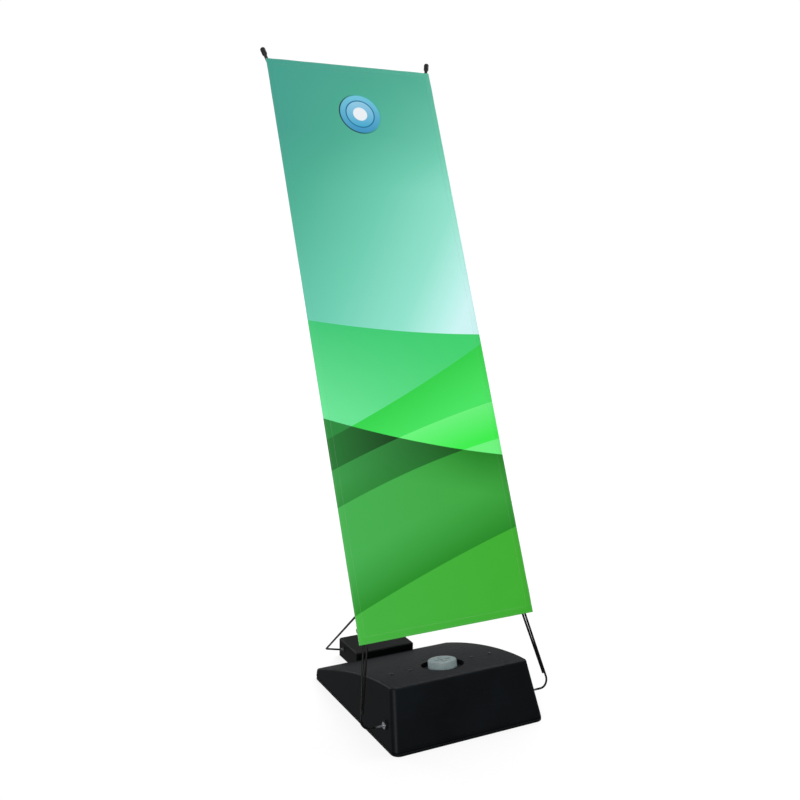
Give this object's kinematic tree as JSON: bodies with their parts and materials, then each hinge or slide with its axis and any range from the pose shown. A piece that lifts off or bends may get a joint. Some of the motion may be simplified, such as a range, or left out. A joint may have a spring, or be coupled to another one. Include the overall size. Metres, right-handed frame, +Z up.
{
  "type": "outdoor banner stand",
  "caption": "Free-standing outdoor banner stand: printed sheet on a leaning rod frame hinged to a fillable wedge base, propped by a folding rear stay.",
  "frame": {"origin": "on the floor under the middle of the wedge base's footprint", "axes": "+Z up, +Y to the back (the sheet faces -Y and leans towards +Y), +X to the right seen from the front"},
  "size_m": [0.6584, 0.9064, 2.0917],
  "materials": {
    "base_plastic": "fine-grained rotationally moulded polyethylene, satin",
    "block_plastic": "moulded plastic, satin",
    "cap_plastic": "natural off-white moulded plastic",
    "black_nylon": "moulded nylon, satin",
    "black_vinyl": "soft vinyl",
    "rubber_seal": "matt rubber",
    "black_steel": "black powder-coated steel rod",
    "bright_steel": "zinc plated",
    "brass": "knurled brass",
    "ferrule_aluminium": "drawn tube",
    "glass_fibre": "pultruded glass fibre, black",
    "printed_sheet": "printed polyester, satin",
    "webbing": "woven black webbing"
  },
  "bodies": {
    "base": {"tank": "base_plastic", "rear_block": "block_plastic", "block_inserts": "brass", "block_screws": "bright_steel", "left_leg_bush": "bright_steel", "right_leg_bush": "bright_steel", "left_stay_bush": "black_nylon", "right_stay_bush": "black_nylon", "deck_studs": "black_nylon"},
    "cap_seal": {"cap_seal": "rubber_seal"},
    "fill_cap": {"fill_cap": "cap_plastic"},
    "front_frame": {"left_leg": "black_steel", "right_leg": "black_steel", "left_hook_rod": "black_steel", "right_hook_rod": "black_steel", "left_hook_cap": "black_vinyl", "right_hook_cap": "black_vinyl", "hub_front": "black_nylon", "hub_back": "black_nylon", "hub_screws": "bright_steel", "hub_nuts": "bright_steel", "left_lower_pole": "glass_fibre", "right_lower_pole": "glass_fibre", "left_upper_pole": "glass_fibre", "right_upper_pole": "glass_fibre", "left_ferrule": "ferrule_aluminium", "right_ferrule": "ferrule_aluminium", "left_pole_tip": "black_vinyl", "right_pole_tip": "black_vinyl", "left_stay_saddle": "black_nylon", "right_stay_saddle": "black_nylon", "saddle_screws": "bright_steel", "banner_sheet": "printed_sheet", "top_left_loop": "webbing", "top_right_loop": "webbing", "bottom_left_loop": "webbing", "bottom_right_loop": "webbing"},
    "rear_stay": {"rear_stay": "black_steel", "stay_sleeve": "black_vinyl"}
  },
  "joints": [
    {"name": "front_frame_fold", "type": "hinge", "parent": "base", "child": "front_frame", "pos_m": [0, -0.222, 0.065], "axis": [1, 0, 0], "range_deg": [0, 113]},
    {"name": "rear_stay_fold", "type": "hinge", "parent": "base", "child": "rear_stay", "pos_m": [0, 0.393, 0.037], "axis": [-1, 0, 0], "range_deg": [0, 147]},
    {"name": "cap_lift", "type": "slide", "parent": "base", "child": "cap_seal", "axis": [0, 0.1929, 0.9812], "range_m": [0, 0.0181]},
    {"name": "cap_turn", "type": "hinge", "parent": "cap_seal", "child": "fill_cap", "pos_m": [0, -0.115, 0.16225], "axis": [0, 0.1929, 0.9812], "range_deg": [0, 1080]}
  ],
  "couplings": [
    {"joint": "cap_lift", "follows": "cap_turn", "m_per_rad": 0.00095493}
  ]
}
